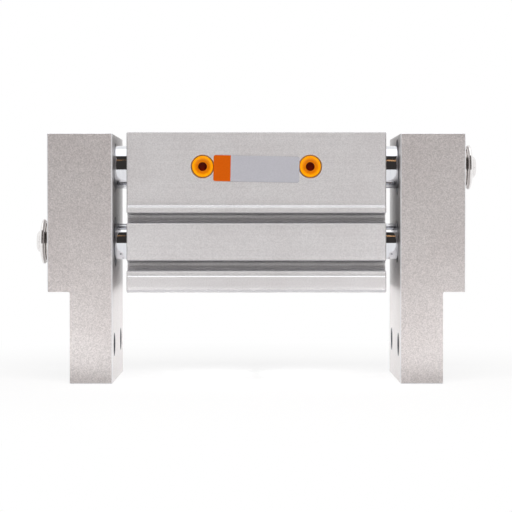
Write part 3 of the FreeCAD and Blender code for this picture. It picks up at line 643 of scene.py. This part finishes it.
def port_plug(side, materials):
    """Dust plug: bright rim, dished face and a blind hole with a small lip."""
    node = f"{side}_port_plug"
    low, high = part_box(node)
    middle = centre_of(node)
    radius = radius_of(node)
    length = high.y - low.y
    outline = softened([
        (PLUG_HOLE_DEPTH, 0),
        (PLUG_HOLE_DEPTH, PLUG_HOLE_RADIUS - PLUG_HOLE_TAPER),
        (PLUG_DISH_DEPTH - PLUG_LIP_RISE, PLUG_HOLE_RADIUS),
        (PLUG_DISH_DEPTH - PLUG_LIP_RISE, PLUG_HOLE_RADIUS + PLUG_LIP),
        (PLUG_DISH_DEPTH, PLUG_HOLE_RADIUS + PLUG_LIP + PLUG_LIP_RISE),
        (PLUG_DISH_DEPTH * PLUG_DISH_FALL, radius - PLUG_RIM - PLUG_DISH_RING),
        (PLUG_RIM_SLOPE_DEPTH, radius - PLUG_RIM),
        (0, radius - PLUG_RIM + PLUG_RIM_SLOPE),
        (0, radius - PLUG_EDGE),
        (PLUG_EDGE_DEPTH, radius),
        (length, radius - PLUG_TAPER),
        (length, 0),
    ], PLUG_ROUND)
    replace_turned(node, "moulded", outline, Vector((middle.x, low.y, middle.z)), Vector((0, 1, 0)),
                   "housing_body", "orange_plastic", materials)


SET_SCREW_TIP_BEVEL = 0.6 * MM
SET_SCREW_END_BEVEL = 0.4 * MM
SET_SCREW_HEX_CORNER = 2.5 * MM / math.sqrt(3)      # for 2.5 mm across flats
SET_SCREW_HEX_RIM = 0.15 * MM
SET_SCREW_HEX_DEPTH = 2.6 * MM
SET_SCREW_HEX_CONE = 0.5 * MM


def set_screw(side, materials):
    """Flat-ended set screw with a hex socket, in the finger's rear face."""
    node = f"{side}_rack_set_screw"
    low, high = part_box(node)
    middle = centre_of(node)
    radius = radius_of(node)
    length = high.y - low.y
    hex_floor = length - SET_SCREW_HEX_DEPTH
    profile = [
        (0, 0),
        (0, radius - SET_SCREW_TIP_BEVEL),
        (SET_SCREW_TIP_BEVEL, radius),
        (length - SET_SCREW_END_BEVEL, radius),
        (length, radius - SET_SCREW_END_BEVEL),
        (length, SET_SCREW_HEX_CORNER + SET_SCREW_HEX_RIM),
        (length, SET_SCREW_HEX_CORNER, 6),
        (hex_floor, SET_SCREW_HEX_CORNER, 6),
        (hex_floor - SET_SCREW_HEX_CONE, 0),
    ]
    replace_turned(node, "turned", profile, Vector((middle.x, low.y, middle.z)), Vector((0, 1, 0)),
                   f"{side}_finger_body", "spring_steel", materials)


# Polished slope of the lower lip, between these heights
LIP_TOP = -54.64 * MM
LIP_EDGE = -55.08 * MM
LIP_RECESS = 0.005 * MM                 # how far its edge is behind the lip's face
LIP_INSET = 0.4 * MM                    # how far its top is behind its edge
LIP_DEPTH = 0.5 * MM                    # how far its foot is behind its edge, inside the lip
LIP_END = 0.35 * MM                     # left free at each end of the housing


def lip_edge(materials):
    """Polished slope along the top of the housing's lower lip."""
    front = HOUSING_LOW.y + LIP_RECESS
    half = HOUSING_HIGH.x - LIP_END
    section = [(front + LIP_INSET, LIP_TOP), (front, LIP_EDGE), (front + LIP_DEPTH, LIP_EDGE)]
    mesh = bpy.data.meshes.new("lip_edge")
    corners = [(x, y, z) for x in (-half, half) for y, z in section]
    mesh.from_pydata(corners, [], [(0, 2, 1), (3, 4, 5), (0, 1, 4, 3), (1, 2, 5, 4), (2, 0, 3, 5)])
    mesh.validate()
    add_piece("lip_edge", mesh, materials["lip_polish"], "housing_body")


def bolt_holes(name):
    """For each hole of a mount: its mouth's centre, its axis into the part and its radius."""
    mount = next(entry for entry in frame["record"]["mounts"] if entry["name"] == name)
    dims = mount["dims"]
    middle = Vector(mount["pos_m"])
    inward = -Vector(mount["axis"])
    half_x = dims["spacing_x_mm"] * MM / 2
    half_y = dims.get("spacing_y_mm", 0) * MM / 2
    if abs(inward.x) > 0.5:
        spots = [Vector((0, half_x, 0)), Vector((0, -half_x, 0))]
    else:
        second = Vector((0, 1, 0)) if abs(inward.z) > 0.5 else Vector((0, 0, 1))
        spots = [Vector((a * half_x, 0, 0)) + second * b * half_y for a in (-1, 1) for b in (-1, 1)]
    return [(middle + spot, inward, dims["hole_r_mm"] * MM) for spot in spots]


# Threads, with their pitch and height, and where they start in their holes
HOUSING_THREAD = (0.8 * MM, 0.25 * MM)
HOUSING_THREAD_START = 0.1 * MM
HOUSING_THREAD_DEPTH = 7.0 * MM
FINGER_THREAD = (1.25 * MM, 0.35 * MM)
FINGER_THREAD_START = 1.3 * MM
FINGER_THREAD_DEPTH = 13.6 * MM
THREAD_STEPS = 40                       # to a turn
THREAD_ROOT = 0.03 * MM                 # how far the ridge goes into the hole's wall
RIDGE_FOOT = 0.42                       # half widths, in pitches
RIDGE_CREST = 0.07
RIDGE_LEAST = 0.02                      # share of its height that a ridge keeps at its ends


def helix(bm, start, axis, radius, length, pitch, height):
    """Adds one thread ridge that stands in from a hole's wall and fades out at both ends."""
    up, side = frame_along(axis)
    root = radius + THREAD_ROOT
    fade = THREAD_STEPS / 2
    total = int(length / pitch) * THREAD_STEPS
    rings = []
    for i in range(total + 1):
        angle = 2 * math.pi * i / THREAD_STEPS
        out = up * math.cos(angle) + side * math.sin(angle)
        lead = min(1.0, i / fade, (total - i) / fade)
        crest = radius - height * max(lead, RIDGE_LEAST)
        middle = pitch * (i / THREAD_STEPS + 0.5)
        section = [(middle - pitch * RIDGE_FOOT, root), (middle - pitch * RIDGE_CREST, crest),
                   (middle + pitch * RIDGE_CREST, crest), (middle + pitch * RIDGE_FOOT, root)]
        rings.append([bm.verts.new(start + axis * a + out * r) for a, r in section])
    for first, second in zip(rings, rings[1:]):
        for k in range(4):
            bm.faces.new([first[k], first[(k + 1) % 4], second[(k + 1) % 4], second[k]])
    bm.faces.new(rings[0])
    bm.faces.new(rings[-1])


def threads(name, mounts, first, depth, thread, body, slot, materials):
    """Thread ridges in every hole of the mounts, from first metres in."""
    bm = bmesh.new()
    for mount in mounts:
        for mouth, inward, radius in bolt_holes(mount):
            helix(bm, mouth + inward * first, inward, radius, depth, *thread)
    add_piece(name, finished_mesh(bm, name), materials[slot], body)


def build_pieces(materials):
    """Every piece that stands for a CAD node or is added to one."""
    for side in ("left", "right"):
        for kind in ("guide_rod", "piston_rod"):
            chrome_rod(side, kind, materials)
        rod_screw(side, materials)
        spring_washer(side, materials)
        port_plug(side, materials)
        set_screw(side, materials)
    lip_edge(materials)
    threads("housing_tapped_threads", ("top_bolts", "rear_bolts"), HOUSING_THREAD_START,
            HOUSING_THREAD_DEPTH, HOUSING_THREAD, "housing_body", "housing_aluminium", materials)
    for side in ("left", "right"):
        threads(f"{side}_finger_threads", (f"{side}_finger_bolts",), FINGER_THREAD_START,
                FINGER_THREAD_DEPTH, FINGER_THREAD, f"{side}_finger_body", "finger_aluminium", materials)


# Stage: camera, lights, floor and the surroundings that the metal shows

# Where the photograph was taken from
CAMERA = Vector(((HORIZON_PX[0] - ORIGIN_PX[0]) * PHOTO_SCALE,
                 cad_box[0].y - VIEW_DISTANCE_PX * PHOTO_SCALE,
                 -(HORIZON_PX[1] - ORIGIN_PX[1]) * PHOTO_SCALE))


def add_camera():
    """Camera with the photograph's place and angle of view."""
    data = bpy.data.cameras.new("camera")
    data.sensor_width = SENSOR_MM
    data.lens = SENSOR_MM * VIEW_DISTANCE_PX / PHOTO_WIDTH
    data.clip_start = 0.01
    data.clip_end = 50
    made = bpy.data.objects.new("camera", data)
    middle = PHOTO_WIDTH / 2
    dip = math.atan((middle - HORIZON_PX[1]) / VIEW_DISTANCE_PX)
    turn = math.atan((middle - HORIZON_PX[0]) / VIEW_DISTANCE_PX)
    made.location = CAMERA
    made.rotation_euler = (math.pi / 2 - dip, 0, -turn)
    bpy.context.scene.collection.objects.link(made)
    bpy.context.scene.camera = made


def seen_directly(tree):
    """1 for rays from the camera, off gloss or through glass."""
    path = tree.nodes.new("ShaderNodeLightPath")
    share = path.outputs["Is Camera Ray"]
    for ray in ("Is Glossy Ray", "Is Transmission Ray"):
        larger = tree.nodes.new("ShaderNodeMath")
        larger.operation = "MAXIMUM"
        tree.links.new(share, larger.inputs[0])
        tree.links.new(path.outputs[ray], larger.inputs[1])
        share = larger.outputs["Value"]
    return share


def mixed(tree, factor, first, second):
    """Shader that goes from first to second with the factor."""
    mix = tree.nodes.new("ShaderNodeMixShader")
    tree.links.new(factor, mix.inputs["Fac"])
    tree.links.new(first, mix.inputs[1])
    tree.links.new(second, mix.inputs[2])
    return mix.outputs["Shader"]


WORLD_FILL = 0.02                       # light from all around on rough surfaces


def add_world():
    """White for all that sees it directly, and a dim fill for the rest."""
    world = bpy.data.worlds.new("studio")
    bpy.context.scene.world = world
    world.use_nodes = True
    tree = world.node_tree
    tree.nodes.clear()
    white = tree.nodes.new("ShaderNodeBackground")
    white.inputs["Color"].default_value = (1, 1, 1, 1)
    fill = tree.nodes.new("ShaderNodeBackground")
    fill.inputs["Color"].default_value = (WORLD_FILL, WORLD_FILL, WORLD_FILL, 1)
    shader = mixed(tree, seen_directly(tree), fill.outputs["Background"], white.outputs["Background"])
    out = tree.nodes.new("ShaderNodeOutputWorld")
    tree.links.new(shader, out.inputs["Surface"])


def upright(x0, x1, y, z0, z1):
    """Corners of a rectangle that faces along Y."""
    return [(x0, y, z0), (x1, y, z0), (x1, y, z1), (x0, y, z1)]


def level(x0, x1, y0, y1, z):
    """Corners of a rectangle that faces along Z."""
    return [(x0, y0, z), (x1, y0, z), (x1, y1, z), (x0, y1, z)]


def stage_sheet(name, corners, material_name):
    """Flat rectangle that isn't part of the object, with an empty node material."""
    mesh = bpy.data.meshes.new(name)
    mesh.from_pydata(corners, [], [(0, 1, 2, 3)])
    made = bpy.data.objects.new(name, mesh)
    bpy.context.scene.collection.objects.link(made)
    material = bpy.data.materials.new(material_name)
    material.use_nodes = True
    material.node_tree.nodes.clear()
    mesh.materials.append(material)
    return made, material.node_tree


FLOOR_HALF = 6.0
FLOOR_SHADE = 0.95
FLOOR_SHADOW = 0.12                     # share of the floor's real shading that shows
SHADOW_REACH = (0.12, 0.26)             # metres from the origin over which the floor turns plain white


def white_share(tree):
    """How much of the floor is plain white, more with distance."""
    place = tree.nodes.new("ShaderNodeNewGeometry")
    distance = tree.nodes.new("ShaderNodeVectorMath")
    distance.operation = "LENGTH"
    tree.links.new(place.outputs["Position"], distance.inputs[0])
    fade = tree.nodes.new("ShaderNodeMapRange")
    fade.interpolation_type = "SMOOTHSTEP"
    fade.inputs["From Min"].default_value = SHADOW_REACH[0]
    fade.inputs["From Max"].default_value = SHADOW_REACH[1]
    fade.inputs["To Min"].default_value = 1 - FLOOR_SHADOW
    fade.inputs["To Max"].default_value = 1.0
    tree.links.new(distance.outputs["Value"], fade.inputs["Value"])
    return fade.outputs["Result"]


def add_floor():
    """White floor that still takes a little of the object's shadow."""
    _, tree = stage_sheet("floor", level(-FLOOR_HALF, FLOOR_HALF, -FLOOR_HALF, FLOOR_HALF, FLOOR),
                          "floor_white")
    diffuse = tree.nodes.new("ShaderNodeBsdfDiffuse")
    diffuse.inputs["Color"].default_value = (FLOOR_SHADE, FLOOR_SHADE, FLOOR_SHADE, 1)
    glow = tree.nodes.new("ShaderNodeEmission")
    glow.inputs["Color"].default_value = (1, 1, 1, 1)
    shadowed = mixed(tree, white_share(tree), diffuse.outputs["BSDF"], glow.outputs["Emission"])
    shader = mixed(tree, seen_directly(tree), diffuse.outputs["BSDF"], shadowed)
    out = tree.nodes.new("ShaderNodeOutputMaterial")
    tree.links.new(shader, out.inputs["Surface"])


def add_card(name, corners, colour, strength=1.0):
    """Card that only the polished metal sees."""
    made, tree = stage_sheet(name, corners, name)
    glow = tree.nodes.new("ShaderNodeEmission")
    glow.inputs["Color"].default_value = colour
    glow.inputs["Strength"].default_value = strength
    out = tree.nodes.new("ShaderNodeOutputMaterial")
    tree.links.new(glow.outputs["Emission"], out.inputs["Surface"])
    made.visible_camera = False
    made.visible_diffuse = False
    made.visible_shadow = False
    made.visible_transmission = False


ABOVE_FLOOR = 0.001                     # gap that keeps the cards clear of the floor
ROOM_GREY = srgb(58, 55, 53)
ROOM_Y = -0.9
ROOM_HALF = 1.6
ROOM_RISE = math.radians(66)            # how high up the dark room reaches, as the object sees it
ROOM_TOP = CAMERA.z - ROOM_Y * math.tan(ROOM_RISE)
ROOM_FLOOR_EDGE = -0.33                 # Y where the dark floor gives way to the white table
SOFTBOX = level(-0.5, 0.5, -0.35, 0.30, 0.60)
SOFTBOX_STRENGTH = 1.45
WARM_GLOW = (1.0, 0.55, 0.25, 1.0)
GLOW_Y = -0.88
# name, strength, X range and Z range of the small warm lights that glint on the rods
GLOWS = (
    ("glow_left", 0.5, -0.1345, -0.1255, 0.540, 0.700),
    ("glow_right", 1.5, 0.1225, 0.1285, 0.500, 0.680),
)


def add_cards():
    """The dark room behind the camera, the softbox overhead and the small warm lights."""
    floor = FLOOR + ABOVE_FLOOR
    add_card("dark_card", upright(-ROOM_HALF, ROOM_HALF, ROOM_Y, floor, ROOM_TOP), ROOM_GREY)
    add_card("dark_floor", level(-ROOM_HALF, ROOM_HALF, ROOM_Y, ROOM_FLOOR_EDGE, floor), ROOM_GREY)
    add_card("softbox", SOFTBOX, (1, 1, 1, 1), SOFTBOX_STRENGTH)
    for name, strength, x0, x1, z0, z1 in GLOWS:
        add_card(name, upright(x0, x1, GLOW_Y, z0, z1), WARM_GLOW, strength)


WHITE = (1, 1, 1)
WARM_WHITE = (1.0, 0.965, 0.955)
MIDDLE = (0, 0, -0.05)
TABLE = FLOOR + 0.002                   # height of the lamps for the light off the white table
UNDER = -0.073                          # height of the two small lamps between the fingers

# name, place, target, size, watts, colour
LAMPS = (
    ("overhead", (0, -0.05, 0.62), MIDDLE, (0.8, 0.6), 0.15, WHITE),
    ("over_front", (0, -0.40, 0.55), MIDDLE, (0.5, 0.3), 5.35, WARM_WHITE),
    ("table_front", (0, -0.052, TABLE), (0, -0.052, 1), (0.24, 0.02), 0.018, WHITE),
    ("table_left", (-0.075, -0.068, TABLE), (-0.075, -0.068, 1), (0.05, 0.05), 0.0185, WHITE),
    ("table_right", (0.075, -0.068, TABLE), (0.075, -0.068, 1), (0.05, 0.05), 0.0185, WHITE),
    ("side_right", (0.5, -0.15, 0.0), (-0.05, 0, -0.07), (0.3, 0.3), 0.55, WHITE),
    ("back_wall", (0, 0.45, -0.02), MIDDLE, (0.7, 0.3), 0.1, WHITE),
    ("under_left", (0, 0.02, UNDER), (-1, 0.02, UNDER), (0.012, 0.012), 0.026, WHITE),
    ("under_right", (0, 0.02, UNDER), (1, 0.02, UNDER), (0.012, 0.012), 0.026, WHITE),
)


def add_lamps():
    """Soft light from above, and the light that a white table throws back up."""
    for name, place, target, size, watts, colour in LAMPS:
        data = bpy.data.lights.new(name, "AREA")
        data.shape = "RECTANGLE"
        data.size, data.size_y = size
        data.energy = watts
        data.color = colour
        made = bpy.data.objects.new(name, data)
        made.location = place
        aim = Vector(target) - Vector(place)
        made.rotation_euler = aim.to_track_quat("-Z", "Y").to_euler()
        made.visible_camera = False
        made.visible_glossy = False
        bpy.context.scene.collection.objects.link(made)


materials = make_materials()
dress_cad_nodes(materials)
build_pieces(materials)
add_camera()
add_world()
add_floor()
add_cards()
add_lamps()

bpy.context.scene.view_settings.view_transform = "Standard"

bpy.context.view_layer.update()
